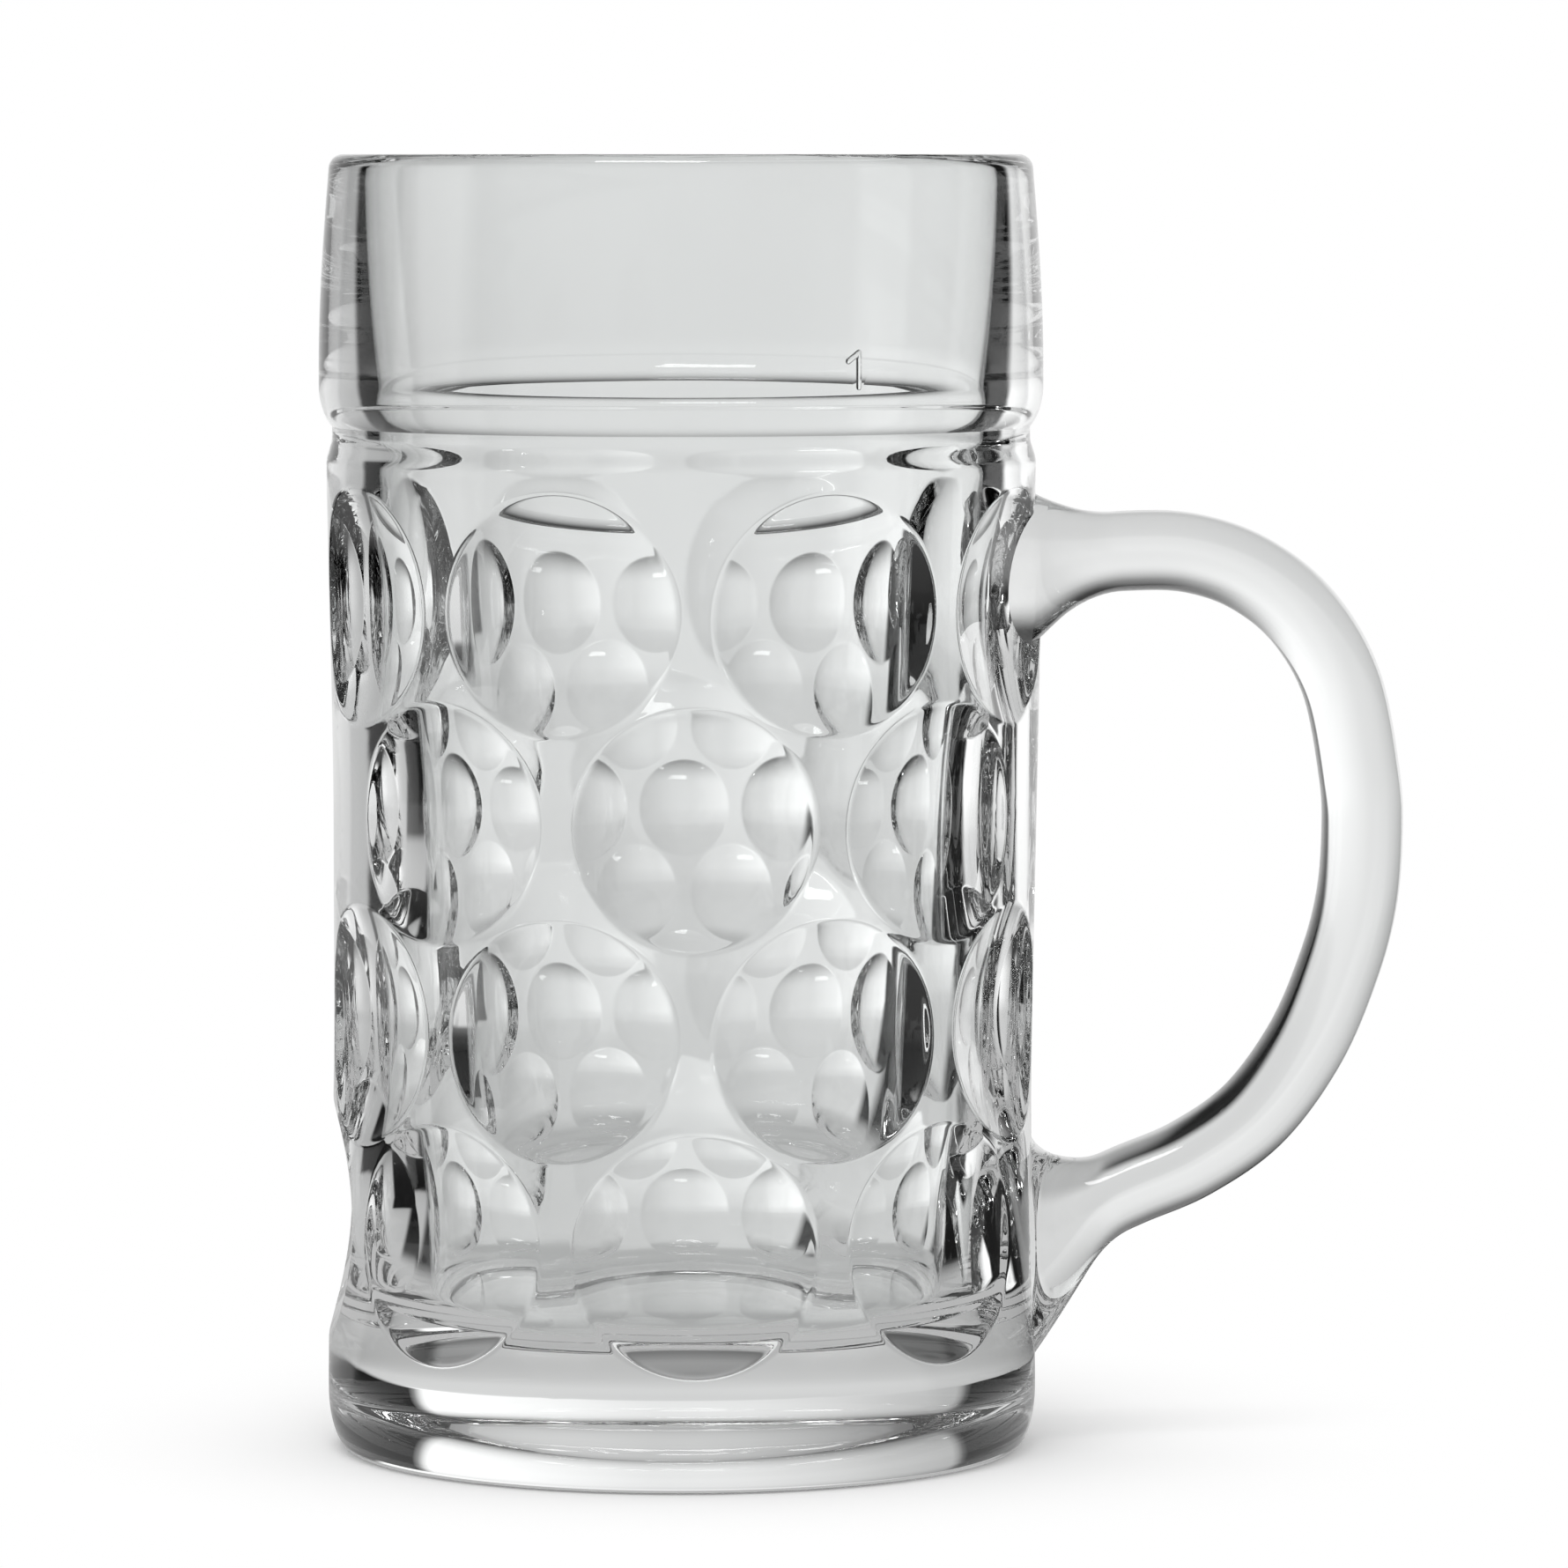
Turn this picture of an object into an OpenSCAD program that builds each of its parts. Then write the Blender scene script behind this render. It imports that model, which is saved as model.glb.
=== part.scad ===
// Dimpled one-litre glass beer mug: a thick pressed body, and a glass handle fused to its side.
// Z is up. The origin is on the body's axis, at the plane the mug stands on. The front is -Y.
// The handle points along +X.

/* [Body] */
// Height from the standing plane to the rim
mug_h = 204; // [198:1:215]
// Outer radius just below the rim
rim_r = 55.3; // [54.5:0.1:56.5]
// Largest outer radius of the plain band under the rim
band_r = 57; // [56.2:0.1:58.5]
// Height of the plain band, from the rim down to the groove
band_h = 42.6; // [34:0.2:48]
// Outer radius at the bottom of the groove
groove_r = 54.9; // [54:0.1:55.6]
// Height of the groove's upright bottom
neck_h = 1.6; // [0.8:0.2:3]
// Outer radius of the barrel at its shoulder, just under the groove
shoulder_r = 55.8; // [55.4:0.1:57]
// Outer radius of the barrel at its middle
barrel_r = 54.9; // [54:0.1:56]
// Largest outer radius of the foot
foot_r = 56; // [55.4:0.1:58]
// How far in the foot's rounded edge goes
foot_round = 3.5; // [2:0.5:6]
// Height over which the foot rounds in
foot_round_h = 9.5; // [5:0.5:11]
// Radius that rounds both edges of the rim
rim_round = 2.3; // [1.2:0.1:2.6]

/* [Inside] */
// Inner radius at the mouth
mouth_r = 49.8; // [48.5:0.1:50.3]
// Inner radius just above the ledge
bore_top_r = 47.9; // [47.7:0.1:49.6]
// Height of the ledge's upper edge
ledge_z = 166.4; // [162:0.1:168]
// Height that the ledge takes to step in
ledge_h = 0.6; // [0.4:0.2:5]
// Inner radius just under the ledge
bore_r = 47.7; // [46:0.1:47.9]
// Inner radius just above the rounded corner of the floor
bore_low_r = 45.2; // [42:0.1:45.8]
// Thickness of the floor
floor_t = 20; // [14:0.5:26]
// Radius of the corner between the floor and the wall
floor_round = 7; // [3:0.5:10]
// Inner radius of the ring that the mug stands on
recess_r = 43; // [36:0.5:47]
// Depth of the hollow inside that ring
recess_t = 1.6; // [0.8:0.2:3]

/* [Dimples] */
// Radius of one dimple's round outline
dimple_r = 18.5; // [14:0.1:19]
// Depth of one dimple at its middle
dimple_t = 4.5; // [3.6:0.1:5.2]
// Plain glass between the groove and the top row
dimple_top_gap = 8.9; // [5:0.1:12]
// Height of the lowest row's lower edge
dimple_low_z = 18.1; // [14:0.1:24]

/* [Fill mark] */
// Fill level, where the numeral stands
fill_z = 168.3; // [164:0.1:171]
// Width of the numeral's strokes
mark_stroke = 0.9; // [0.6:0.1:1.6]
// How far the mark stands proud
mark_t = 0.5; // [0.3:0.1:1]
// Height of the numeral
numeral_h = 6.2; // [3:0.1:10]
// Turn of the numeral from the front, towards the handle
mark_turn = 26; // [15:1:50]

/* [Handle] */
// Distance from the mug's axis to the outside of the grip
reach = 114.3; // [106:0.5:124]
// Thickness of the grip, seen from the side
grip_t = 12.6; // [10:0.2:16]
// Width of the grip, across the hand
grip_w = 19; // [15:0.5:24]
// Height of the upper arm's centre line
arm_top_z = 141.5; // [134:0.5:146]
// Height of the lower arm's centre line where it meets the body
arm_low_z = 31.5; // [27:0.5:38]
// How much the upper foot grows above and below the arm
foot_top_grow = 6.2; // [3:0.2:8]
// How much the lower foot grows above and below the arm
foot_low_grow = 12.5; // [6:0.5:14]
// How much both feet grow to each side
foot_side_grow = 2; // [0:0.2:3]
// Length over which a foot grows out of its arm
foot_l = 14; // [8:0.5:18]
// How far the rib between the feet stands out of the barrel at its top
rib_t = 2; // [1:0.1:3]

/* [Hidden] */
$fn = 96;

glass = [0.84, 0.87, 0.88, 0.55];

// Body heights, worked out from the rim down and from the foot up
shoulder_drop = 5.6;
waist_drop = 48.8;
waist_rise = 11;
groove_run = 6.6;
groove_lean = 30;
belly_rise = 12.2;
foot_flat = 1.5;
flare_drop = 8;
mouth_power = 2.3;
round_steps = 6;
groove_z = mug_h - band_h;
shoulder_z = groove_z - shoulder_drop;
waist_top_z = groove_z - waist_drop;
waist_low_z = dimple_low_z + 2 * dimple_r + waist_rise;
flare_z = dimple_low_z + 2 * dimple_r - flare_drop;
belly_z = groove_z + belly_rise;
overrun = 1;

// Dimples: rows of eight places, each row turned half a place from the next
places = 8;
rows = 4;
turn = 360 / places;
row_top_z = groove_z - dimple_top_gap - dimple_r;
row_low_z = dimple_low_z + dimple_r;
row_pitch = (row_top_z - row_low_z) / (rows - 1);
handle_place = 2;
left_place = 6;
beside_handle = [handle_place - 1, handle_place];

// Radii that cut a round outline of dimple_r, dimple_t deep, into the barrel
barrel_sag = barrel_r - sqrt(barrel_r ^ 2 - dimple_r ^ 2);
least_sag = 0.2;
side_sag = max(dimple_t - barrel_sag, least_sag);
upright_r = (dimple_r ^ 2 + dimple_t ^ 2) / (2 * dimple_t);
level_extra = 5;
level_r = max((dimple_r ^ 2 + side_sag ^ 2) / (2 * side_sag), upright_r + level_extra);
cut_margin = 4;
cut_turn = asin((dimple_r + cut_margin) / level_r);

// Fill mark: how deep the numeral's strokes run through the band, and the tilt of its flag
mark_run = 10;
flag_tilt = 35;

// Rib between the handle's feet
rib_r = 20;
rib_low_t = 0.15;
rib_low_rise = 14;
rib_top_drop = 4;
rib_low_z = arm_low_z + rib_low_rise;
rib_top_z = arm_top_z - rib_top_drop;

// Handle
route_rings = 52;
section_sides = 24;
section_power = 2.5;
foot_power = 2;
near = 0.1;
wall_sink = 5.5;
grip_x = reach - grip_t / 2;

// Centre line of the handle: how far out it is, from 0 at the body to 1 at the grip, and how high,
// from 0 at the lower foot to 1 at the upper arm
route = [[0, 0.975], [0.1, 0.99], [0.29, 1], [0.48, 0.997], [0.66, 0.967], [0.82, 0.905], [0.935, 0.81],
    [0.99, 0.68], [1, 0.6], [0.985, 0.5], [0.935, 0.405], [0.835, 0.29], [0.68, 0.187], [0.49, 0.122],
    [0.3, 0.083], [0.14, 0.047], [0, 0]];

// Points of an arc round centre, from angle a to angle b
function arc(centre, r, a, b) = [for (i = [0:round_steps])
    centre + r * [cos(a + (b - a) * i / round_steps), sin(a + (b - a) * i / round_steps)]];

// A value that goes smoothly from 0 to 1
function ease(u) = u * u * (3 - 2 * u);

// Outline of the solid body from the axis out, up the outside and back at the rim
function body_outline() = concat(
    [[0, 0]],
    [for (i = [0:round_steps]) let (a = 90 * i / round_steps)
        [foot_r - foot_round * (1 - sin(a)), foot_round_h * (1 - cos(a))]],
    [[foot_r, foot_round_h + foot_flat], [(foot_r + barrel_r) / 2, flare_z],
        [barrel_r, waist_low_z], [barrel_r, waist_top_z], [shoulder_r, shoulder_z]],
    [for (i = [1:round_steps]) let (u = i / round_steps)
        [shoulder_r + (groove_r - shoulder_r) * ease(u), shoulder_z + (groove_z - neck_h - shoulder_z) * u]],
    [for (i = [0:round_steps]) let (a = groove_lean + (90 - groove_lean) * i / round_steps)
        [band_r - (band_r - groove_r) * (1 - sin(a)) / (1 - sin(groove_lean)),
            groove_z + groove_run * (1 - cos(a) / cos(groove_lean))]],
    [[band_r, belly_z]],
    arc([rim_r - rim_round, mug_h - rim_round], rim_round, 0, 90),
    [[0, mug_h]]);

// Outline of the hollow inside, from the axis out along the floor and up past the rim
function hollow_outline() = concat(
    [[0, floor_t]],
    arc([bore_low_r - floor_round, floor_t + floor_round], floor_round, -90, 0),
    [for (i = [0:round_steps]) let (u = i / round_steps)
        [bore_r + (bore_top_r - bore_r) * ease(u), ledge_z - ledge_h * (1 - u)]],
    [for (i = [1:round_steps - 1]) let (u = i / round_steps)
        [mouth_r - (mouth_r - bore_top_r) * (1 - u) ^ mouth_power, ledge_z + (mug_h - rim_round - ledge_z) * u]],
    [for (i = [0:round_steps]) let (a = 90 * i / round_steps)
        [mouth_r + rim_round * (1 - cos(a)), mug_h - rim_round * (1 - sin(a))]],
    [[mouth_r + rim_round, mug_h + overrun], [0, mug_h + overrun]]);

// True where a row has a dimple: the handle takes one place of every second row, and the place
// opposite it is bare but for the lowest row
function has_dimple(row, place) = row % 2 == 0
    || (place != handle_place && (place != left_place || row == rows - 1));

// Cutter of one dimple, on the +X side at height 0
module dimple() {
    translate([barrel_r - dimple_t + level_r, 0, 0]) rotate([0, 0, 180 - cut_turn])
        rotate_extrude(angle = 2 * cut_turn) translate([level_r - upright_r, 0]) circle(r = upright_r);
}

// The dimples of some of the places. Place 0 of the second row is at the front
module dimples(used) {
    for (row = [0:rows - 1], place = used)
        if (has_dimple(row, place))
            translate([0, 0, row_top_z - row * row_pitch])
                rotate([0, 0, turn * (place + (row % 2 == 0 ? 0.5 : 0)) - 90]) dimple();
}

// Low ridge down the barrel from one foot of the handle to the other
module rib() {
    translate([barrel_r - rib_r, 0, rib_low_z])
        cylinder(r1 = rib_r + rib_low_t, r2 = rib_r + rib_t, h = rib_top_z - rib_low_z);
}

// Fill mark: a plain numeral that stands on the fill level, proud of the band
module fill_mark() {
    intersection() {
        rotate_extrude() translate([rim_r - rim_round, groove_z])
            square([band_r + mark_t - rim_r + rim_round, band_h - rim_round]);
        rotate([0, 0, mark_turn - 90]) translate([rim_r - rim_round, 0, fill_z]) {
            translate([0, -mark_stroke / 2, 0]) cube([mark_run, mark_stroke, numeral_h]);
            translate([0, -mark_stroke / 2, numeral_h]) rotate([flag_tilt, 0, 0])
                translate([0, -2 * mark_stroke, -mark_stroke])
                    cube([mark_run, 2 * mark_stroke, mark_stroke]);
        }
    }
}

// Outside of the body with nothing hollowed out, with the dimples of some of the places
module blank(used) {
    difference() {
        union() {
            rotate_extrude() polygon(body_outline());
            rib();
        }
        dimples(used);
    }
}

module glass_body() {
    color(glass) difference() {
        union() {
            blank([0:places - 1]);
            fill_mark();
        }
        rotate_extrude() polygon(hollow_outline());
        translate([0, 0, -overrun])
            cylinder(r1 = recess_r + overrun, r2 = recess_r - recess_t, h = recess_t + overrun);
    }
}

// Point of the route at station s, on a smooth curve through its points
function smooth(p, u) = 0.5 * (2 * p[1] + (p[2] - p[0]) * u
    + (2 * p[0] - 5 * p[1] + 4 * p[2] - p[3]) * u ^ 2 + (3 * p[1] - p[0] - 3 * p[2] + p[3]) * u ^ 3);
function route_at(s) = let (last = len(route) - 1, i = min(floor(s), last - 1))
    smooth([route[max(i - 1, 0)], route[i], route[i + 1], route[min(i + 2, last)]], s - i);
function place_at(s) = let (p = route_at(s))
    [barrel_r + p[0] * (grip_x - barrel_r), arm_low_z + p[1] * (arm_top_z - arm_low_z)];

// How far into a foot a point of the handle is, from 0 on the arm to 1 at the body
function foot_at(p) = max(0, 1 - (p[0] - barrel_r) / foot_l);

// One ring of the handle: a rounded section across the route, upright where a foot meets the body
function ring(s) = let (
        last = len(route) - 1,
        p = place_at(s),
        along = place_at(min(s + near, last)) - place_at(max(s - near, 0)),
        foot = foot_at(p),
        upper = s < last / 2,
        across = [-along[1], along[0]] / norm(along) * (1 - foot) + [0, upper ? 1 : -1] * foot,
        axis = across / norm(across),
        grow = (upper ? foot_top_grow : foot_low_grow) * foot ^ foot_power,
        half_t = grip_t / 2 + grow,
        half_w = grip_w / 2 + foot_side_grow * foot ^ foot_power)
    [for (k = [0:section_sides - 1]) let (
            a = 360 * k / section_sides,
            c = sign(cos(a)) * abs(cos(a)) ^ (2 / section_power),
            d = sign(sin(a)) * abs(sin(a)) ^ (2 / section_power),
            q = p + axis * half_t * c)
        [q[0], half_w * d, q[1]]];

// Ring moved straight into the body, so that the foot starts inside the wall
function sunk(points) = [for (q = points) q - [wall_sink, 0, 0]];

// Skin over a list of rings, closed with flat ends
module skin(rings) {
    n = len(rings[0]);
    last = len(rings) - 1;
    polyhedron(
        points = [for (r = rings) each r],
        faces = concat(
            [[for (k = [0:n - 1]) n - 1 - k]],
            [for (i = [0:last - 1], k = [0:n - 1]) each let (
                    a = i * n + k, b = i * n + (k + 1) % n) [[a, b, b + n], [a, b + n, a + n]]],
            [[for (k = [0:n - 1]) last * n + k]]));
}

module handle() {
    last = len(route) - 1;
    color(glass) difference() {
        skin(concat([sunk(ring(0))], [for (i = [0:route_rings]) ring(last * i / route_rings)],
            [sunk(ring(last))]));
        blank(beside_handle);
    }
}

glass_body();
handle();
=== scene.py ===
import math

import bmesh
import bpy
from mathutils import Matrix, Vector


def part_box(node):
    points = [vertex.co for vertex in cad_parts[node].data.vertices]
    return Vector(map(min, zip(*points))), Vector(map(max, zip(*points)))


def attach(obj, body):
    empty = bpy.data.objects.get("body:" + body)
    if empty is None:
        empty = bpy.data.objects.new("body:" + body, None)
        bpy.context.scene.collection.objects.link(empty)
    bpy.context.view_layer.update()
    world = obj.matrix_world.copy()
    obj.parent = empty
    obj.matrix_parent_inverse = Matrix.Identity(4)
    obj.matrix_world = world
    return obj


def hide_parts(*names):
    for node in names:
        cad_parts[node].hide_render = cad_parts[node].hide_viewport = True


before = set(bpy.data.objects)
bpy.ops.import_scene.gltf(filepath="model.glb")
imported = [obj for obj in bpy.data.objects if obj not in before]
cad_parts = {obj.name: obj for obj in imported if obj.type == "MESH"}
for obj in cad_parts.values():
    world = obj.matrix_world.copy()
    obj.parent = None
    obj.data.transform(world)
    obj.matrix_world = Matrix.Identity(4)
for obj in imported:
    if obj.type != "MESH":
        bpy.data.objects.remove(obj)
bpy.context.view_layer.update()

mm = 0.001
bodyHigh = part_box("glass_body")[1]


# camera: the photographer stood with the lens level with the rim, and panned the mug to the left

shot = {
    "distance": 1.343,
    "height": bodyHigh.z,
    "turn": -2.2,
    "tiltDown": 4.224,
    "panRight": 0.69,
    "lens": 195.8,
}


def makeCamera(settings):
    data = bpy.data.cameras.new("photoCamera")
    data.lens = settings["lens"]
    camera = bpy.data.objects.new("photoCamera", data)
    bpy.context.scene.collection.objects.link(camera)
    turn = math.radians(settings["turn"])
    camera.location = (
        settings["distance"] * math.sin(turn),
        -settings["distance"] * math.cos(turn),
        settings["height"],
    )
    camera.rotation_euler = (
        math.radians(90 - settings["tiltDown"]),
        0,
        turn - math.radians(settings["panRight"]),
    )
    bpy.context.scene.camera = camera


makeCamera(shot)
print("camera placed")


# small helpers for node trees


class Link:
    # a socket that can be used in sums: an expression on it adds Math nodes
    def __init__(self, nodes, socket):
        self.nodes = nodes
        self.socket = socket

    def math(self, operation, *others):
        return self.nodes.math(operation, self, *others)

    def __add__(self, other):
        return self.math("ADD", other)

    def __radd__(self, other):
        return self.nodes.math("ADD", other, self)

    def __sub__(self, other):
        return self.math("SUBTRACT", other)

    def __rsub__(self, other):
        return self.nodes.math("SUBTRACT", other, self)

    def __mul__(self, other):
        return self.math("MULTIPLY", other)

    def __rmul__(self, other):
        return self.nodes.math("MULTIPLY", other, self)

    def __truediv__(self, other):
        return self.math("DIVIDE", other)

    def __rtruediv__(self, other):
        return self.nodes.math("DIVIDE", other, self)

    def __neg__(self):
        return self.nodes.math("MULTIPLY", self, -1)


class Nodes:
    # a node tree, with one way to add each kind of node
    def __init__(self, tree):
        self.tree = tree

    def put(self, socket, value):
        if isinstance(value, Link):
            self.tree.links.new(value.socket, socket)
        else:
            socket.default_value = value

    def add(self, kind, settings=None, values=None):
        node = self.tree.nodes.new(kind)
        for name, value in (settings or {}).items():
            if name == "stops":
                self.setStops(node.color_ramp, value)
            else:
                setattr(node, name, value)
        for key, value in (values or {}).items():
            self.put(node.inputs[key], value)
        return node

    def get(self, kind, settings=None, values=None, output=0):
        return Link(self, self.add(kind, settings, values).outputs[output])

    def math(self, operation, *values):
        return self.get("ShaderNodeMath", {"operation": operation}, dict(enumerate(values)))

    @staticmethod
    def setStops(ramp, stops):
        while len(ramp.elements) < len(stops):
            ramp.elements.new(0.5)
        for element, (place, colour) in zip(ramp.elements, stops):
            element.position = place
            element.color = colour


def clampUnit(value):
    if isinstance(value, Link):
        return value.math("MINIMUM", 1).math("MAXIMUM", 0)
    return min(max(value, 0), 1)


def ease(value):
    # goes smoothly from 0 to 1, for a number or for a link
    u = clampUnit(value)
    return u * u * (3 - 2 * u)


# glass body: a flat tile for one dimple, set out round the barrel by Geometry Nodes

barrel = {
    "radius": 54.9 * mm,
    "places": 8,
    "rows": 4,
    "topRow": 134.0 * mm,
    "lowRow": 36.6 * mm,
    "topEdge": 154.5 * mm,
    "lowEdge": 13.8 * mm,
    "flare": 1.1 * mm,
    "flareTop": 72 * mm,
    "flareFoot": 8 * mm,
    "shoulder": 0.9 * mm,
    "shoulderFoot": 100 * mm,
    "shoulderTop": 160 * mm,
    "columns": 24,
    "handlePlace": 2,
    "bareRow": 1,
    "barePlace": 6,
    "seam": 0.02 * mm,
}
dimple = {
    "radius": 18.5 * mm,
    "depth": 4.5 * mm,
    "edgeSoftness": 0.45 * mm,
    "innerRings": [0.1, 0.2, 0.3, 0.4, 0.5, 0.6, 0.69, 0.77, 0.84, 0.9],
    "edgeRings": [-1.1 * mm, -0.75 * mm, -0.48 * mm, -0.27 * mm, -0.12 * mm, 0,
                  0.12 * mm, 0.27 * mm, 0.48 * mm, 0.75 * mm],
    "outerRings": [0.45, 1],
    "slantSteps": 12,
}
rib = {
    "axis": 34.9 * mm,
    "lowRadius": 20.15 * mm,
    "topRadius": 22 * mm,
    "lowEnd": 45.5 * mm,
    "topEnd": 137.5 * mm,
    "fade": 5 * mm,
    "drop": 3 * mm,
    "softness": 1.2 * mm,
    "sunk": 1.2 * mm,
    "clear": 0.4 * mm,
}


def barrelRadius(height):
    # plain barrel: a slight flare towards the foot and a slight shoulder, for a number or a link
    flare = ease((barrel["flareTop"] - height) / (barrel["flareTop"] - barrel["flareFoot"]))
    shoulder = ease((height - barrel["shoulderFoot"]) / (barrel["shoulderTop"] - barrel["shoulderFoot"]))
    return barrel["radius"] + barrel["flare"] * flare + barrel["shoulder"] * shoulder


def dishHeight(across, up):
    # height of one dimple's dish over the barrel: below zero inside the round edge, above it outside
    r, t = dimple["radius"], dimple["depth"]
    base = barrel["radius"]
    uprightRadius = (r * r + t * t) / (2 * t)
    sideSag = t - (base - math.sqrt(base * base - r * r))
    levelRadius = (r * r + sideSag * sideSag) / (2 * sideSag)
    centre = base - t + levelRadius
    reach = levelRadius - uprightRadius + math.sqrt(uprightRadius ** 2 - up * up)
    turn = across / base
    return centre * math.cos(turn) - math.sqrt(reach ** 2 - (centre * math.sin(turn)) ** 2) - base


def edgeDistance(direction):
    # distance from the dimple's centre to its edge, by halving
    near, far = 0.5 * dimple["radius"], 1.2 * dimple["radius"]
    for step in range(40):
        middle = (near + far) / 2
        if dishHeight(middle * direction.x, middle * direction.y) < 0:
            near = middle
        else:
            far = middle
    return near


def outlinePoints(corners, counts):
    points = []
    for i, corner in enumerate(corners):
        following = corners[(i + 1) % len(corners)]
        points += [corner.lerp(following, k / counts[i]) for k in range(counts[i])]
    return points


def makeTile(name, corners, counts):
    # rings from the middle of a dimple to its edge, and on to the tile's outline
    outline = outlinePoints(corners, counts)
    edges = [p.normalized() * edgeDistance(p.normalized()) for p in outline]
    levels = [[e * share for e in edges] for share in dimple["innerRings"]]
    levels += [[e + e.normalized() * step for e in edges] for step in dimple["edgeRings"]]
    last = levels[-1]
    levels += [[a.lerp(b, share) for a, b in zip(last, outline)] for share in dimple["outerRings"]]
    around = len(outline)
    points = [Vector((0, 0))] + [point for level in levels for point in level]
    faces = [(0, 1 + k, 1 + (k + 1) % around) for k in range(around)]
    for ring in range(len(levels) - 1):
        a = 1 + ring * around
        for k in range(around):
            j = (k + 1) % around
            faces.append((a + k, a + around + k, a + around + j, a + j))
    mesh = bpy.data.meshes.new(name)
    mesh.from_pydata([(p.x, p.y, dishHeight(p.x, p.y)) for p in points], [], faces)
    tile = bpy.data.objects.new(name, mesh)
    bpy.context.scene.collection.objects.link(tile)
    return tile


def makeTiles():
    # each tile reaches half way to its neighbours; the outer rows end in a straight line
    halfWidth = math.pi * barrel["radius"] / barrel["places"]
    pitch = (barrel["topRow"] - barrel["lowRow"]) / (barrel["rows"] - 1)
    tip = (halfWidth ** 2 + pitch ** 2) / (2 * pitch)
    side = pitch - tip
    top, low = barrel["topEdge"] - barrel["topRow"], barrel["lowRow"] - barrel["lowEdge"]
    slant, straight = dimple["slantSteps"], barrel["columns"]
    upLeft, upRight = Vector((-halfWidth, side)), Vector((halfWidth, side))
    downLeft, downRight = Vector((-halfWidth, -side)), Vector((halfWidth, -side))
    upTip, downTip = Vector((0, tip)), Vector((0, -tip))
    middle = makeTile("tileMiddle", [downTip, downRight, upRight, upTip, upLeft, downLeft],
                      [slant, 8, slant, slant, 8, slant])
    upper = makeTile("tileTop", [downTip, downRight, Vector((halfWidth, top)), Vector((-halfWidth, top)),
                                 downLeft], [slant, 13, straight, 13, slant])
    lower = makeTile("tileLow", [Vector((-halfWidth, -low)), Vector((halfWidth, -low)), upRight, upTip,
                                 upLeft], [straight, 14, slant, slant, 14])
    return [("Top Tile", upper, -0.5, 0.5), ("Middle Tile", middle, 0.5, barrel["rows"] - 1.5),
            ("Low Tile", lower, barrel["rows"] - 1.5, barrel["rows"] - 0.5)]


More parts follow.
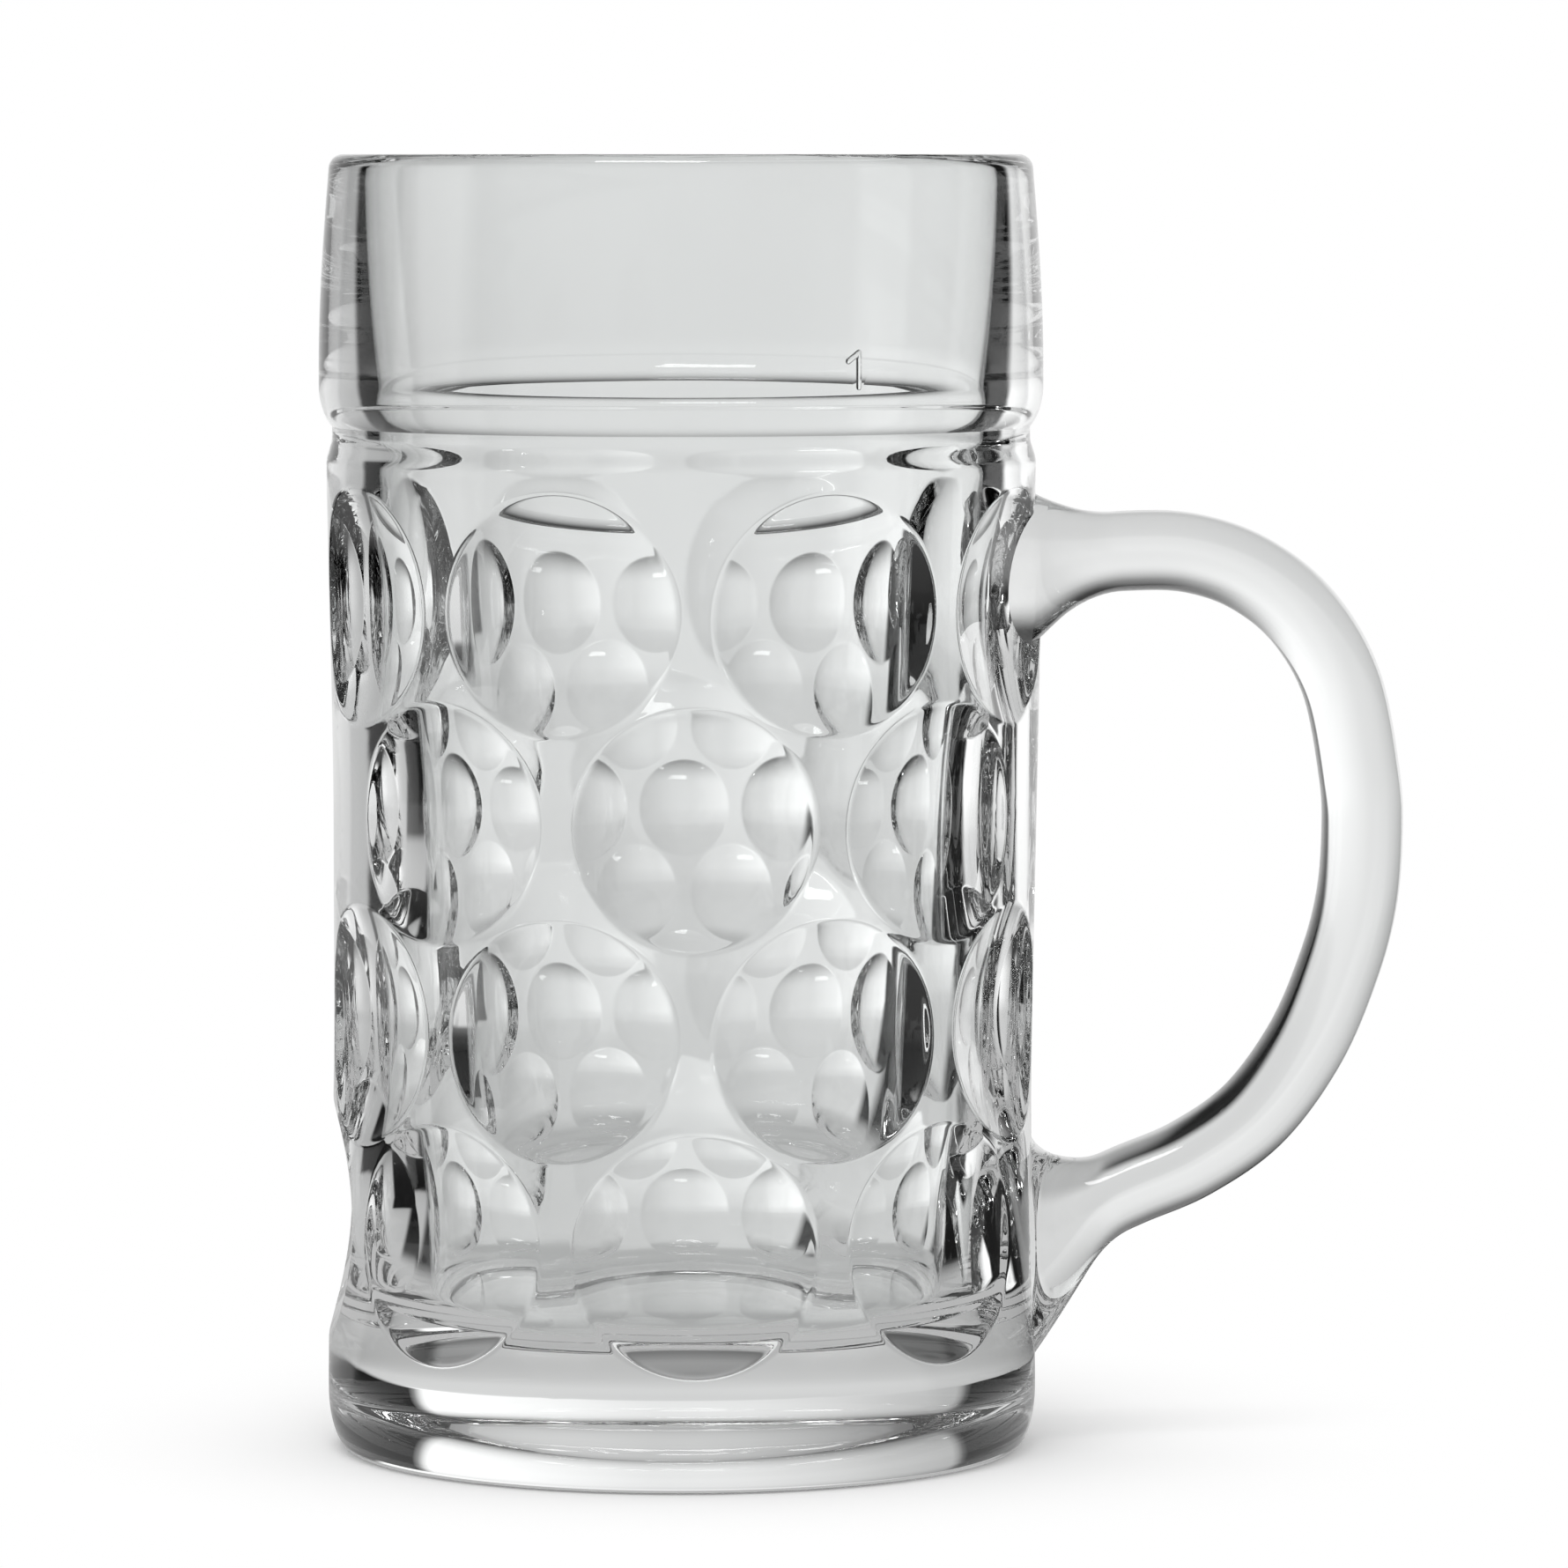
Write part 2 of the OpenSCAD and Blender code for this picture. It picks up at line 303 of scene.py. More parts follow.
def buildBarrelTree(tiles):
    # sets the tiles out in staggered rows, bends them round the barrel and joins them to the plain parts
    tree = bpy.data.node_groups.new("dimpledBarrel", "GeometryNodeTree")
    tree.is_modifier = True
    sizes = {
        "Places": barrel["places"],
        "Rows": barrel["rows"],
        "Top Row": barrel["topRow"],
        "Row Pitch": (barrel["topRow"] - barrel["lowRow"]) / (barrel["rows"] - 1),
        "Radius": barrel["radius"],
        "Edge Softness": dimple["edgeSoftness"],
        "Rib Softness": rib["softness"],
    }
    tree.interface.new_socket("Geometry", in_out="INPUT", socket_type="NodeSocketGeometry")
    for label, tile, first, final in tiles:
        tree.interface.new_socket(label, in_out="INPUT", socket_type="NodeSocketObject")
    for label in sizes:
        kind = "NodeSocketInt" if label in ("Places", "Rows") else "NodeSocketFloat"
        tree.interface.new_socket(label, in_out="INPUT", socket_type=kind)
    tree.interface.new_socket("Glass", in_out="INPUT", socket_type="NodeSocketMaterial")
    tree.interface.new_socket("Geometry", in_out="OUTPUT", socket_type="NodeSocketGeometry")
    nodes = Nodes(tree)
    group = nodes.add("NodeGroupInput")
    take = {socket.name: Link(nodes, socket) for socket in group.outputs if socket.name}

    points = nodes.get("GeometryNodePoints", None, {"Count": take["Places"] * take["Rows"]})
    index = nodes.get("GeometryNodeInputIndex")
    row = (index / take["Places"]).math("FLOOR")
    place = index - row * take["Places"]
    odd = row.math("MODULO", 2)
    spacing = take["Radius"] * math.tau / take["Places"]
    lattice = nodes.get("ShaderNodeCombineXYZ", None, {
        "X": (place + 0.5 - odd * 0.5) * spacing,
        "Y": take["Top Row"] - row * take["Row Pitch"]})
    placed = nodes.get("GeometryNodeSetPosition", None, {"Geometry": points, "Position": lattice})

    # the handle takes one place in every second row, and the place across from it is plain once
    handleSide = odd * place.math("COMPARE", barrel["handlePlace"], 0.1)
    farSide = (row.math("COMPARE", barrel["bareRow"], 0.1)
               * place.math("COMPARE", barrel["barePlace"], 0.1))
    plain = nodes.get("GeometryNodeStoreNamedAttribute", {"data_type": "FLOAT"}, {
        "Geometry": placed, "Name": "plain", "Value": (handleSide + farSide).math("MINIMUM", 1)})
    join = nodes.add("GeometryNodeJoinGeometry")
    for label, tile, first, final in tiles:
        shown = row.math("GREATER_THAN", first) * row.math("LESS_THAN", final)
        source = nodes.get("GeometryNodeObjectInfo", {"transform_space": "ORIGINAL"},
                           {"Object": take[label]}, "Geometry")
        nodes.put(join.inputs[0], nodes.get("GeometryNodeInstanceOnPoints", None, {
            "Points": plain, "Selection": shown, "Instance": source}))
    sheet = nodes.get("GeometryNodeRealizeInstances", None, {0: Link(nodes, join.outputs[0])})

    # bend: across becomes the angle, and each dish is set down from the flared barrel and cut off by it
    flat = nodes.add("ShaderNodeSeparateXYZ", None, {0: nodes.get("GeometryNodeInputPosition")})
    across, height, dish = (Link(nodes, socket) for socket in flat.outputs)
    isPlain = nodes.get("GeometryNodeInputNamedAttribute", {"data_type": "FLOAT"}, {"Name": "plain"})
    angle = across / take["Radius"] - math.pi / 2
    base = barrelRadius(height)
    along = clampUnit((height - rib["lowEnd"]) / (rib["topEnd"] - rib["lowEnd"]))
    past = ease((height - rib["topEnd"]) / rib["fade"]) + ease((rib["lowEnd"] - height) / rib["fade"])
    ribRadius = rib["lowRadius"] + along * (rib["topRadius"] - rib["lowRadius"]) - past * rib["drop"]
    sideways = angle.math("SINE") * rib["axis"]
    ribOut = angle.math("COSINE") * rib["axis"] + (ribRadius * ribRadius - sideways * sideways).math("SQRT")
    ribLift = base.math("SMOOTH_MAX", ribOut, take["Rib Softness"]) - base
    depth = dish + isPlain * dimple["radius"]
    dished = base.math("SMOOTH_MIN", base + depth, take["Edge Softness"])
    out = dished + ribLift * ease((depth + rib["sunk"]) / (rib["sunk"] + rib["clear"]))
    bent = nodes.get("ShaderNodeCombineXYZ", None, {
        "X": out * angle.math("COSINE"), "Y": out * angle.math("SINE"), "Z": height})
    wrapped = nodes.get("GeometryNodeSetPosition", None, {"Geometry": sheet, "Position": bent})

    whole = nodes.add("GeometryNodeJoinGeometry")
    nodes.put(whole.inputs[0], wrapped)
    nodes.put(whole.inputs[0], take["Geometry"])
    merged = nodes.get("GeometryNodeMergeByDistance", None, {
        "Geometry": Link(nodes, whole.outputs[0]), "Distance": barrel["seam"]})
    solid = nodes.get("GeometryNodeRealizeInstances", None, {0: merged})
    finished = nodes.get("GeometryNodeSetMaterial", None, {"Geometry": solid, "Material": take["Glass"]})
    nodes.add("NodeGroupOutput", None, {"Geometry": finished})
    return tree, sizes


# outline of the plain parts, in mm: how far out and how high

vessel = {
    "rim": (55.3, 204),
    "rimRound": 2.3,
    "rimFlat": (52.1, 53),
    "band": 56.97,
    "bandTurn": 170,
    "groove": (54.9, 161.4),
    "grooveRun": 6.6,
    "grooveLean": 30,
    "neck": 1.6,
    "shoulder": (55.8, 155.8),
    "mouth": 49.8,
    "mouthCurve": 2.3,
    "ledgeTop": (47.9, 166.4),
    "ledgeLow": (47.7, 165.8),
    "boreLow": (45.2, 27),
    "floor": 20,
    "floorRound": 7,
    "foot": 56,
    "footRound": (3.5, 9.5),
    "ring": 43,
    "ringRound": 0.7,
    "recess": 1.6,
    "recessSlope": (0.8, 2.2),
    "recessFlat": 6,
}


def arcPoints(centre, radius, start, end, steps):
    turns = [math.radians(start + (end - start) * i / steps) for i in range(steps + 1)]
    return [(centre[0] + radius * math.cos(t), centre[1] + radius * math.sin(t)) for t in turns]


def linePoints(start, end, steps):
    return [(start[0] + (end[0] - start[0]) * i / steps, start[1] + (end[1] - start[1]) * i / steps)
            for i in range(steps + 1)]


def upperOutline():
    # from the barrel's top edge over the band and the rim, down the inside and along the floor
    v = vessel
    lowZ = barrel["topEdge"] / mm
    points = [(barrelRadius(z * mm) / mm, z) for z in (lowZ, (lowZ + v["shoulder"][1]) / 2)]
    for i in range(9):
        u = i / 8
        points.append((v["shoulder"][0] + (v["groove"][0] - v["shoulder"][0]) * ease(u),
                       v["shoulder"][1] + (v["groove"][1] - v["neck"] - v["shoulder"][1]) * u))
    lean = math.radians(v["grooveLean"])
    for i in range(15):
        a = lean + (math.pi / 2 - lean) * i / 14
        inward = (1 - math.sin(a)) / (1 - math.sin(lean))
        points.append((v["band"] - (v["band"] - v["groove"][0]) * inward,
                       v["groove"][1] + v["grooveRun"] * (1 - math.cos(a) / math.cos(lean))))
    rimOut, rimTop = v["rim"]
    turnTop = rimTop - v["rimRound"]
    for i in range(1, 20):
        u = i / 20
        z = v["bandTurn"] + (turnTop - v["bandTurn"]) * u
        points.append((v["band"] - (v["band"] - rimOut) * (1 - math.cos(u * math.pi / 2)), z))
    points += arcPoints((v["rimFlat"][1], turnTop), v["rimRound"], 3, 90, 10)
    points += arcPoints((v["rimFlat"][0], turnTop), v["rimRound"], 90, 180, 10)
    for i in range(1, 17):
        u = i / 16
        points.append((v["mouth"] - (v["mouth"] - v["ledgeTop"][0]) * u ** v["mouthCurve"],
                       turnTop + (v["ledgeTop"][1] - turnTop) * u))
    for i in range(1, 15):
        u = i / 14
        points.append((v["ledgeTop"][0] + (v["ledgeLow"][0] - v["ledgeTop"][0]) * ease(u),
                       v["ledgeTop"][1] + (v["ledgeLow"][1] - v["ledgeTop"][1]) * u))
    points += linePoints(v["ledgeLow"], v["boreLow"], 24)[1:-1]
    corner = (v["boreLow"][0] - v["floorRound"], v["boreLow"][1])
    points += arcPoints(corner, v["floorRound"], 0, -90, 12)
    points += linePoints((corner[0], v["floor"]), (corner[0] / 6, v["floor"]), 5)[1:]
    return points, (0, v["floor"])


def lowerOutline():
    # from the barrel's low edge down the foot, under the ring and along the hollow below it
    v = vessel
    lowZ = barrel["lowEdge"] / mm
    points = [(barrelRadius(lowZ * mm) / mm, lowZ)]
    wide, high = v["footRound"]
    points += linePoints((v["foot"], lowZ - 2), (v["foot"], high), 2)[:-1]
    for i in range(19):
        a = math.pi / 2 * (1 - i / 18)
        points.append((v["foot"] - wide * (1 - math.sin(a)), high * (1 - math.cos(a))))
    ringRound, ring = v["ringRound"], v["ring"]
    points += linePoints((v["foot"] - wide, 0), (ring + ringRound, 0), 3)[1:]
    points += arcPoints((ring + ringRound, ringRound), ringRound, -90, -150, 4)[1:]
    start, end = v["recessSlope"]
    points += linePoints((ring - start, v["recess"] - 0.3), (ring - end, v["recess"]), 2)
    points += linePoints((ring - v["recessFlat"], v["recess"]), (ring / 6, v["recess"]), 5)
    return points, (0, v["recess"])


def addSheet(mesh, outline, pole):
    # a turned sheet, closed in the middle with one point
    columns = barrel["columns"] * barrel["places"]
    rings = []
    for out, high in outline:
        rings.append([mesh.verts.new((out * mm * math.cos(math.tau * k / columns),
                                      out * mm * math.sin(math.tau * k / columns), high * mm))
                      for k in range(columns)])
    middle = mesh.verts.new((pole[0] * mm, pole[0] * mm, pole[1] * mm))
    for a, b in zip(rings, rings[1:]):
        for k in range(columns):
            j = (k + 1) % columns
            mesh.faces.new((a[k], a[j], b[j], b[k]))
    for k in range(columns):
        mesh.faces.new((rings[-1][k], rings[-1][(k + 1) % columns], middle))


def linkMesh(name, mesh):
    data = bpy.data.meshes.new(name)
    mesh.to_mesh(data)
    mesh.free()
    piece = bpy.data.objects.new(name, data)
    bpy.context.scene.collection.objects.link(piece)
    return piece


def frozen(piece):
    # the evaluated shape as a plain mesh, with no modifier left on the object
    graph = bpy.context.evaluated_depsgraph_get()
    result = bpy.data.meshes.new_from_object(piece.evaluated_get(graph))
    piece.modifiers.clear()
    piece.data = result
    return piece


def makeBody(material):
    plain = bmesh.new()
    addSheet(plain, *upperOutline())
    addSheet(plain, *lowerOutline())
    body = linkMesh("GlassBody", plain)
    tiles = makeTiles()
    tree, sizes = buildBarrelTree(tiles)
    modifier = body.modifiers.new("dimpledBarrel", "NODES")
    modifier.node_group = tree
    values = dict(sizes, Glass=material)
    values.update({label: tile for label, tile, first, final in tiles})
    for socket in tree.interface.items_tree:
        if socket.in_out == "INPUT" and socket.name in values:
            modifier[socket.identifier] = values[socket.name]
    frozen(body)
    for label, tile, first, final in tiles:
        bpy.data.objects.remove(tile)
    tidy = bmesh.new()
    tidy.from_mesh(body.data)
    bmesh.ops.recalc_face_normals(tidy, faces=tidy.faces)
    open_ = [e for e in tidy.edges if len(e.link_faces) != 2]
    tidy.to_mesh(body.data)
    tidy.free()
    print("body made,", len(body.data.polygons), "faces,", len(open_), "open edges")
    return body


# handle: rounded sections along the same route as the solid's

grip = {
    "reach": 114.28,
    "thick": 12.6,
    "wide": 19,
    "topArm": 141.5,
    "lowArm": 31.5,
    "topGrow": 6.2,
    "lowGrow": 12.5,
    "sideGrow": 2,
    "footLength": 14,
    "sink": 5.5,
    "rings": 150,
    "sides": 56,
    "squareness": 2.5,
    "body": 54.9,
    "route": [(0, 0.975), (0.1, 0.99), (0.29, 1), (0.48, 0.997), (0.66, 0.967), (0.82, 0.905),
              (0.935, 0.81), (0.99, 0.68), (1, 0.6), (0.985, 0.5), (0.935, 0.405), (0.835, 0.29),
              (0.68, 0.187), (0.49, 0.122), (0.3, 0.083), (0.14, 0.047), (0, 0)],
}


def routeAt(station):
    # place on the handle's centre line, on a smooth curve through the route's points
    route = grip["route"]
    last = len(route) - 1
    i = min(int(station), last - 1)
    u = station - i
    p = [Vector(route[min(max(k, 0), last)]) for k in range(i - 1, i + 3)]
    smooth = 0.5 * (2 * p[1] + (p[2] - p[0]) * u + (2 * p[0] - 5 * p[1] + 4 * p[2] - p[3]) * u * u
                    + (3 * p[1] - p[0] - 3 * p[2] + p[3]) * u ** 3)
    gripOut = grip["reach"] - grip["thick"] / 2
    return Vector((grip["body"] + smooth.x * (gripOut - grip["body"]),
                   grip["lowArm"] + smooth.y * (grip["topArm"] - grip["lowArm"])))


def handleRing(station):
    last = len(grip["route"]) - 1
    middle = routeAt(station)
    along = routeAt(min(station + 0.1, last)) - routeAt(max(station - 0.1, 0))
    foot = max(0, 1 - (middle.x - grip["body"]) / grip["footLength"])
    upper = station < last / 2
    across = Vector((-along.y, along.x)).normalized() * (1 - foot) + Vector((0, 1 if upper else -1)) * foot
    across.normalize()
    grow = (grip["topGrow"] if upper else grip["lowGrow"]) * foot ** 2
    halfThick = grip["thick"] / 2 + grow
    halfWide = grip["wide"] / 2 + grip["sideGrow"] * foot ** 2
    points = []
    for k in range(grip["sides"]):
        turn = math.tau * k / grip["sides"]
        c, s = math.cos(turn), math.sin(turn)
        power = 2 / grip["squareness"]
        out = middle + across * halfThick * math.copysign(abs(c) ** power, c)
        points.append((out.x * mm, halfWide * math.copysign(abs(s) ** power, s) * mm, out.y * mm))
    return points


def skinRings(rings):
    mesh = bmesh.new()
    loops = [[mesh.verts.new(p) for p in ring] for ring in rings]
    for a, b in zip(loops, loops[1:]):
        for k in range(len(a)):
            j = (k + 1) % len(a)
            mesh.faces.new((a[k], a[j], b[j], b[k]))
    mesh.faces.new(loops[0])
    mesh.faces.new(list(reversed(loops[-1])))
    bmesh.ops.recalc_face_normals(mesh, faces=mesh.faces)
    return mesh


def makeHandle():
    last = len(grip["route"]) - 1
    rings = [handleRing(last * i / grip["rings"]) for i in range(grip["rings"] + 1)]

    def sunk(ring):
        return [(x - grip["sink"] * mm, y, z) for x, y, z in ring]

    handle = linkMesh("Handle", skinRings([sunk(rings[0])] + rings + [sunk(rings[-1])]))
    print("handle made,", len(handle.data.polygons), "faces")
    return handle


# fill mark: a plain numeral, raised on the band

mark = {
    "turn": 26,
    "height": 168.3,
    "numeral": 6.2,
    "flag": 1.8,
    "flagDrop": 0.35,
    "thick": 0.5,
    "proud": 0.35,
}


def bandPoint(across, up, lift=0.0):
    # a place on the band, from mm across and up from the numeral's foot
    z = mark["height"] + up
    u = clampUnit((z - vessel["bandTurn"]) / (vessel["rim"][1] - vessel["rimRound"] - vessel["bandTurn"]))
    out = vessel["band"] - (vessel["band"] - vessel["rim"][0]) * (1 - math.cos(u * math.pi / 2)) + lift
    angle = math.radians(mark["turn"] - 90) + across / vessel["band"]
    return Vector((out * math.cos(angle), out * math.sin(angle), z))


def makeStroke(path):
    # a round bar along the band with round ends
    sides, radius = 16, mark["thick"]
    rings = []
    ends = [math.pi / 2 * k / 4 for k in range(1, 5)]
    stations = [(path[0], -math.cos(t), math.sin(t)) for t in ends[:-1]]
    stations += [(p, 0, 1) for p in path]
    stations += [(path[-1], math.cos(t), math.sin(t)) for t in reversed(ends[:-1])]
    for number, (centre, shift, scale) in enumerate(stations):
        forward = (path[-1] - path[0]).normalized()
        outward = Vector((centre.x, centre.y, 0)).normalized()
        sideways = forward.cross(outward).normalized()
        middle = centre + forward * shift * radius
        rings.append([tuple((middle + (outward * math.cos(math.tau * k / sides)
                                       + sideways * math.sin(math.tau * k / sides)) * radius * scale) * mm)
                      for k in range(sides)])
    return linkMesh("stroke", skinRings(rings))


def makeMark():
    lift = mark["proud"] - mark["thick"]
    foot, top = mark["thick"], mark["numeral"] - mark["thick"]
    strokes = [
        [bandPoint(0, foot + (top - foot) * i / 4, lift) for i in range(5)],
        [bandPoint(-mark["flag"] * i / 2, top - mark["flag"] * mark["flagDrop"] * i, lift)
         for i in range(3)],
    ]
    return [makeStroke(path) for path in strokes]


# joining: the handle and the body share one face at each foot, and light goes straight through it


def combine(piece, other, operation):
    modifier = piece.modifiers.new(operation, "BOOLEAN")
    modifier.operation = operation
    modifier.solver = "MANIFOLD"
    modifier.object = other
    return frozen(piece)


def paintAll(piece, materials, index):
    piece.data.materials.clear()
    for material in materials:
        piece.data.materials.append(material)
    for face in piece.data.polygons:
        face.material_index = index


def copyOf(piece, name):
    twin = bpy.data.objects.new(name, piece.data.copy())
    bpy.context.scene.collection.objects.link(twin)
    return twin


def joinPieces(body, handle, materials):
    # slots: 0 body glass, 1 handle glass, 2 the shared face
    paintAll(body, materials, 0)
    paintAll(handle, materials, 1)
    outside = combine(copyOf(body, "outside"), handle, "UNION")
    shared = combine(copyOf(body, "shared"), handle, "INTERSECT")
    combine(handle, body, "DIFFERENCE")
    for face in handle.data.polygons:
        if face.material_index == 0:
            face.material_index = 2
    mesh = bmesh.new()
    mesh.from_mesh(outside.data)
    kept = bmesh.new()
    kept.from_mesh(shared.data)
    bmesh.ops.delete(mesh, geom=[f for f in mesh.faces if f.material_index != 0], context="FACES")
    bmesh.ops.delete(kept, geom=[f for f in kept.faces if f.material_index != 0], context="FACES")
    for face in kept.faces:
        face.material_index = 2
    kept.to_mesh(shared.data)
    mesh.from_mesh(shared.data)
    kept.free()
    bmesh.ops.remove_doubles(mesh, verts=mesh.verts, dist=0.001 * mm)
    loose = [e for e in mesh.edges if len(e.link_faces) != 2]
    mesh.to_mesh(body.data)
    mesh.free()
    for spare in (outside, shared):
        bpy.data.objects.remove(spare)
    print("pieces joined,", len(body.data.polygons), "and", len(handle.data.polygons), "faces,",
          len(loose), "open edges")


def shadeSmooth(piece, angle):
    for face in piece.data.polygons:
        face.use_smooth = True
    piece.data.set_sharp_from_angle(angle=math.radians(angle))


# glass

glassLook = {
    "ior": 1.52,
    "tint": (0.985, 0.992, 0.99, 1),
    "shade": (0.955, 0.968, 0.965, 1),
    "polish": 0.004,
    "haze": 0.02,
    "hazeScale": 420,
    "hazeFrom": 0.55,
    "bump": 0.12,
    "waveScale": 28,
    "waveHeight": 0.35 * mm,
}


def makeGlass(name, seedShift):
    material = bpy.data.materials.new(name)
    material.use_nodes = True
    material.node_tree.nodes.clear()
    nodes = Nodes(material.node_tree)
    place = nodes.get("ShaderNodeTexCoord", None, None, "Object")
    moved = nodes.get("ShaderNodeVectorMath", {"operation": "ADD"}, {0: place, 1: (seedShift, 0, 0)})
    slow = nodes.get("ShaderNodeTexNoise", None, {"Vector": moved, "Scale": glassLook["waveScale"],
                                                  "Detail": 1.0, "Roughness": 0.4})
    fine = nodes.get("ShaderNodeTexNoise", None, {"Vector": moved, "Scale": glassLook["hazeScale"],
                                                  "Detail": 2.0})
    haze = (fine - glassLook["hazeFrom"]).math("MAXIMUM", 0) * glassLook["haze"]
    colour = nodes.get("ShaderNodeMix", {"data_type": "RGBA"}, {
        "Factor": slow, 6: glassLook["tint"], 7: glassLook["shade"]}, 2)
    bump = nodes.get("ShaderNodeBump", None, {"Strength": glassLook["bump"],
                                              "Distance": glassLook["waveHeight"],
                                              "Height": slow})
    glass = nodes.get("ShaderNodeBsdfPrincipled", None, {
        "Base Color": colour,
        "Roughness": haze + glassLook["polish"],
        "IOR": glassLook["ior"],
        "Transmission Weight": 1.0,
        "Normal": bump})
    nodes.add("ShaderNodeOutputMaterial", None, {"Surface": glass})
    return material


def makeJoint():
    # the face that the two pieces share: one glass, so nothing shows there
    material = bpy.data.materials.new("fusedJoint")
    material.use_nodes = True
    material.node_tree.nodes.clear()
    nodes = Nodes(material.node_tree)
    clear = nodes.get("ShaderNodeBsdfTransparent")
    nodes.add("ShaderNodeOutputMaterial", None, {"Surface": clear})
    return material


bodyGlass = makeGlass("bodyGlass", 0)
handleGlass = makeGlass("handleGlass", 3.7)
jointClear = makeJoint()

body = makeBody(bodyGlass)
handle = makeHandle()
for stroke in makeMark():
    combine(body, stroke, "UNION")
    bpy.data.objects.remove(stroke)
print("fill mark raised")
joinPieces(body, handle, [bodyGlass, handleGlass, jointClear])
for piece, node, slot in ((body, "glass_body", "body_glass"), (handle, "handle", "handle_glass")):
    shadeSmooth(piece, 32)
    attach(piece, "root")
    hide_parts(node)
print("pieces finished")


# studio: pale floor and white surroundings; the glass sees a backdrop between dark sides, and a floor that
# glows with painted light and shade

studio = {
    "floorRadius": 30.0,
    "floorColour": 0.98,
    "shadowReach": (0.03, 0.13),
    # painted shadow: the floor right under the mug glows darker where the glass sees it
    "shadowUnderMug": 0.5,
    "nearTable": (0.1, 0.15),
    "farTable": (0.55, 0.7),
    "wall": (0.3, 3),
    "sky": 0.06,
    "skyEdge": (0.12, 0.52),
    # painted light and shade on the floor that the glass sees: how light or dark the table is painted in
    # each direction, near the mug and beyond
    "table": [(-180, 0.2), (-160, 0.65), (-112, 0.65), (-106, 0.01), (-42, 0.01), (-36, 0.75), (0, 0.7),
              (36, 0.58), (64, 0.5), (68, 0.01), (112, 0.01), (118, 0.2), (180, 0.2)],
    "beyond": [(-180, 0.15), (-160, 0.5), (-112, 0.5), (-106, 0.01), (-42, 0.01), (-36, 0.85), (0, 0.76),
               (36, 0.58), (40, 0.01), (76, 0.01), (80, 0.7), (100, 0.7), (104, 0.01), (180, 0.15)],
    "around": [(-180, 0.1), (-160, 0.06), (-106, 0.06), (-100, 0.01), (-40, 0.01), (-37, 1.3), (-14, 1.0),
               (-5, 0.87), (0, 0.87), (5, 0.84), (10, 0.78), (16, 0.71), (24, 0.6), (37, 0.5), (40, 0.01),
               (74, 0.01), (78, 0.8), (102, 0.8), (106, 0.01), (150, 0.05), (180, 0.1)],
}


def surroundings(nodes, x, y, part="around"):
    # how bright the room is in each direction round the mug, from +Y towards -X; for the table, the painted
    # light and shade that the glass sees there
    bearing = (-x).math("ARCTAN2", y) / math.tau + 0.5
    stops = [(turn / 360 + 0.5, (level, level, level, 1)) for turn, level in studio[part]]
    return nodes.get("ShaderNodeValToRGB", {"stops": stops}, {"Fac": bearing})


def blend(nodes, share, first, second):
    return nodes.get("ShaderNodeMix", {"data_type": "RGBA"}, {"Factor": share, 6: first, 7: second}, 2)


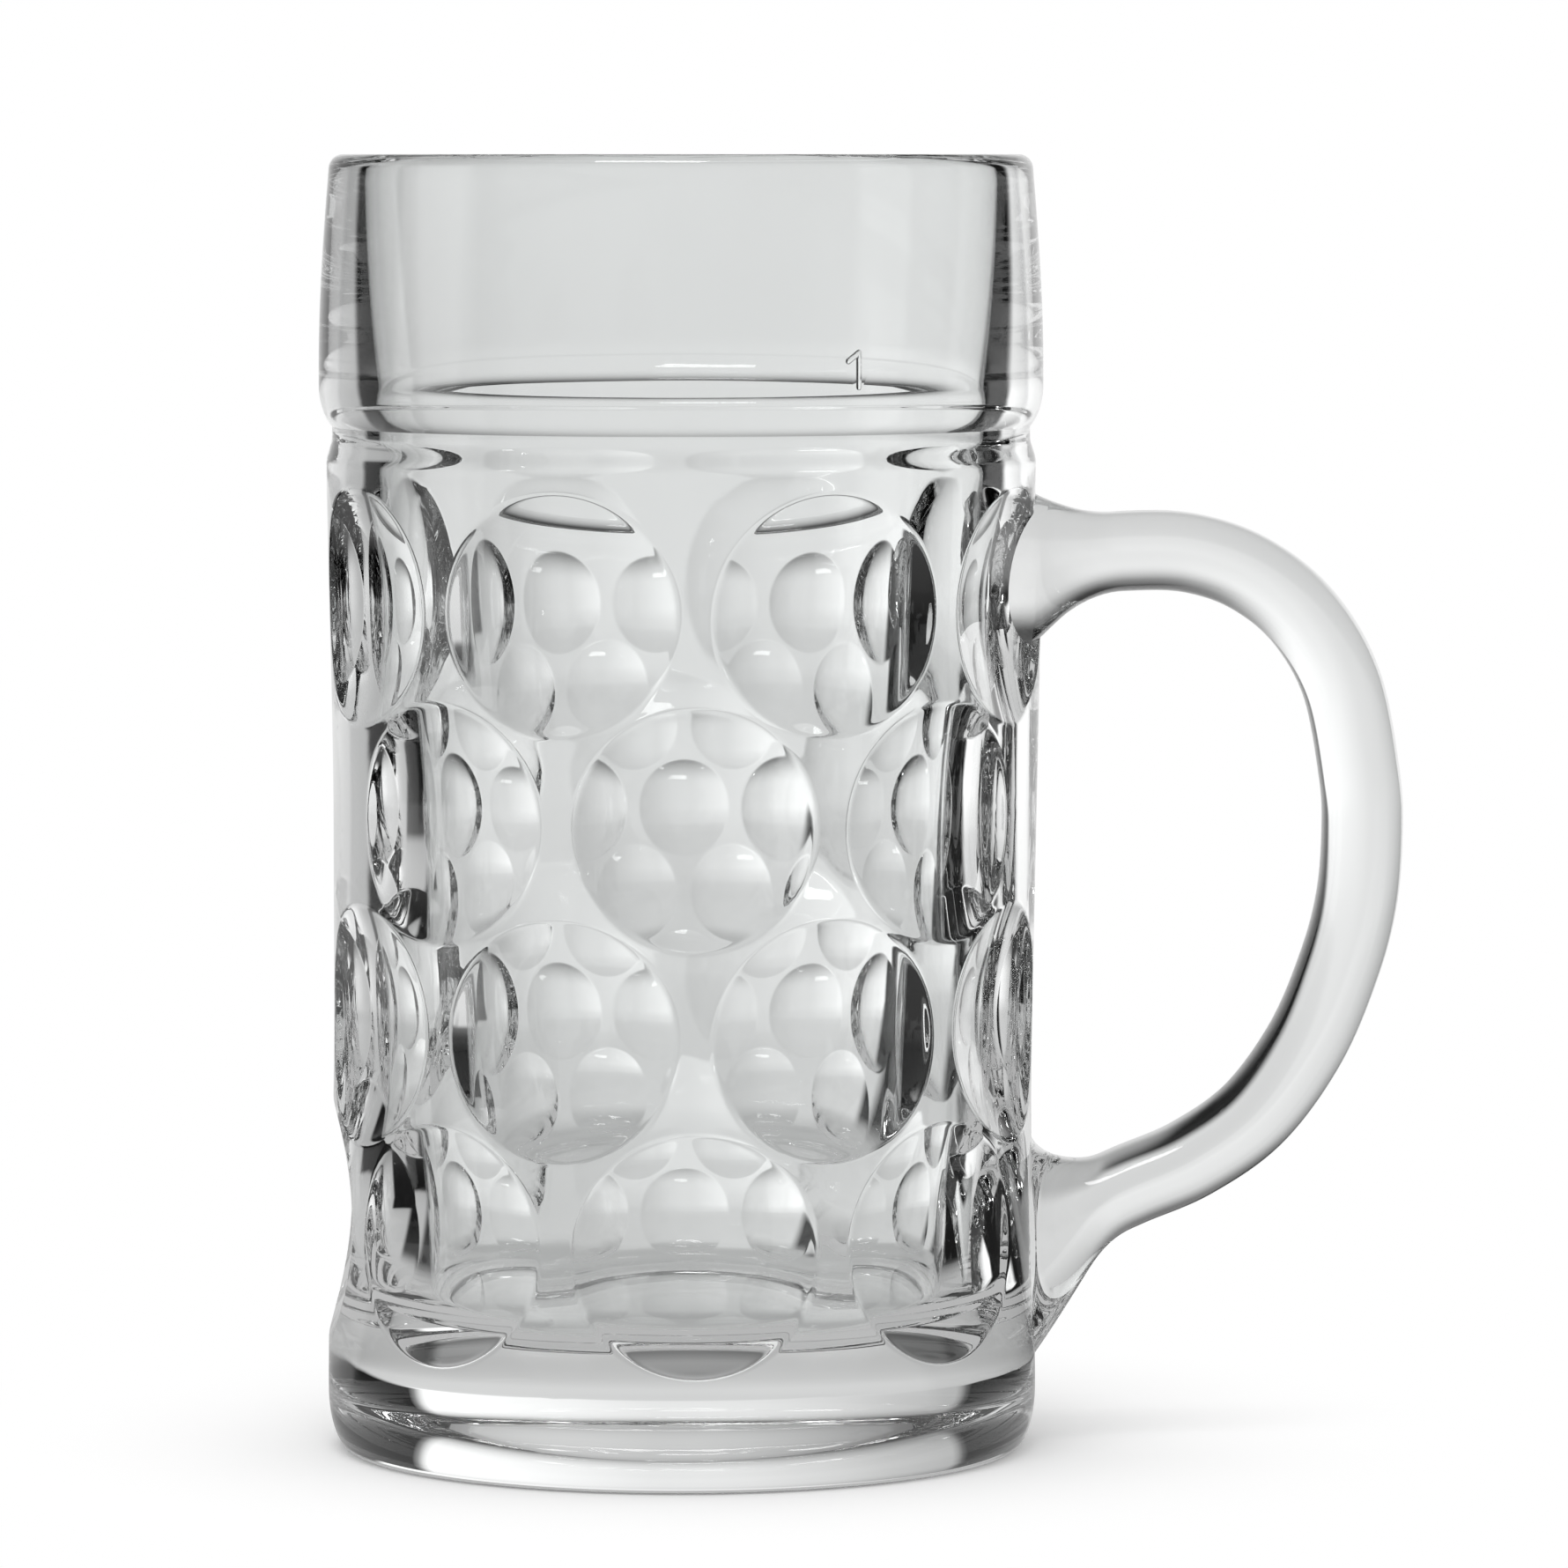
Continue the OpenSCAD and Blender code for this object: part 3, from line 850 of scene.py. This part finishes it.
def makeFloor():
    mesh = bmesh.new()
    bmesh.ops.create_circle(mesh, cap_ends=True, segments=96, radius=studio["floorRadius"])
    floor = linkMesh("floor", mesh)
    material = bpy.data.materials.new("paleFloor")
    material.use_nodes = True
    material.node_tree.nodes.clear()
    nodes = Nodes(material.node_tree)
    seen = nodes.get("ShaderNodeLightPath", None, None, "Is Camera Ray")
    place = nodes.get("ShaderNodeTexCoord", None, None, "Object")
    split = nodes.add("ShaderNodeSeparateXYZ", None, {0: place})
    x, y = Link(nodes, split.outputs[0]), Link(nodes, split.outputs[1])
    distance = (x * x + y * y).math("SQRT")
    start, end = studio["shadowReach"]
    white = seen * ease((distance - start) / (end - start))
    pale = studio["floorColour"]
    paint = nodes.get("ShaderNodeBsdfDiffuse", None, {"Color": (pale, pale, pale, 1)})
    # what the glass sees of the floor glows with painted light and shade: a painted shadow under the mug,
    # then the table painted bright behind the mug and dark at the sides, by bearing, out to the room's own
    # levels
    under = studio["shadowUnderMug"]
    start, end = studio["nearTable"]
    level = blend(nodes, ease((distance - start) / (end - start)), (under, under, under, 1),
                  surroundings(nodes, x, y, "table"))
    start, end = studio["farTable"]
    level = blend(nodes, ease((distance - start) / (end - start)), level,
                  surroundings(nodes, x, y, "beyond"))
    start, end = studio["wall"]
    level = blend(nodes, ease((distance / start).math("LOGARITHM", end / start)), level,
                  surroundings(nodes, x, y))
    colour = blend(nodes, seen, level, (1, 1, 1, 1))
    glow = nodes.get("ShaderNodeEmission", None, {"Color": colour, "Strength": 1.0})
    share = (white + (1 - seen)).math("MINIMUM", 1)
    both = nodes.get("ShaderNodeMixShader", None, {0: share, 1: paint, 2: glow})
    nodes.add("ShaderNodeOutputMaterial", None, {"Surface": both})
    floor.data.materials.append(material)


def makeWorld():
    world = bpy.data.worlds.new("studio")
    bpy.context.scene.world = world
    world.use_nodes = True
    world.node_tree.nodes.clear()
    nodes = Nodes(world.node_tree)
    path = nodes.add("ShaderNodeLightPath")
    camera = Link(nodes, path.outputs["Is Camera Ray"])
    diffuse = Link(nodes, path.outputs["Is Diffuse Ray"])
    direction = nodes.add("ShaderNodeSeparateXYZ", None, {
        0: nodes.get("ShaderNodeTexCoord", None, None, "Generated")})
    x, y, z = (Link(nodes, socket) for socket in direction.outputs)
    sky = studio["sky"]
    start, end = studio["skyEdge"]
    level = blend(nodes, ease((z - start) / (end - start)), surroundings(nodes, x, y), (sky, sky, sky, 1))
    colour = blend(nodes, (camera + diffuse).math("MINIMUM", 1), level, (1, 1, 1, 1))
    back = nodes.get("ShaderNodeBackground", None, {"Color": colour, "Strength": 1.0})
    nodes.add("ShaderNodeOutputWorld", None, {"Surface": back})


def addLamp(name, place, aim, size, power):
    data = bpy.data.lights.new(name, "AREA")
    data.shape = "RECTANGLE"
    data.size, data.size_y = size
    data.energy = power
    lamp = bpy.data.objects.new(name, data)
    bpy.context.scene.collection.objects.link(lamp)
    lamp.location = place
    lamp.rotation_euler = (Vector(aim) - Vector(place)).to_track_quat("-Z", "Y").to_euler()
    return lamp


makeFloor()
makeWorld()
addLamp("overhead", (-0.15, -0.5, 1.1), (0, 0, 0.1), (0.5, 0.25), 3.0)
bpy.context.scene.view_settings.view_transform = "Standard"
bpy.context.scene.cycles.max_bounces = 48
bpy.context.scene.cycles.transmission_bounces = 40
bpy.context.scene.cycles.glossy_bounces = 12
bpy.context.scene.cycles.transparent_max_bounces = 24
print("studio lit")
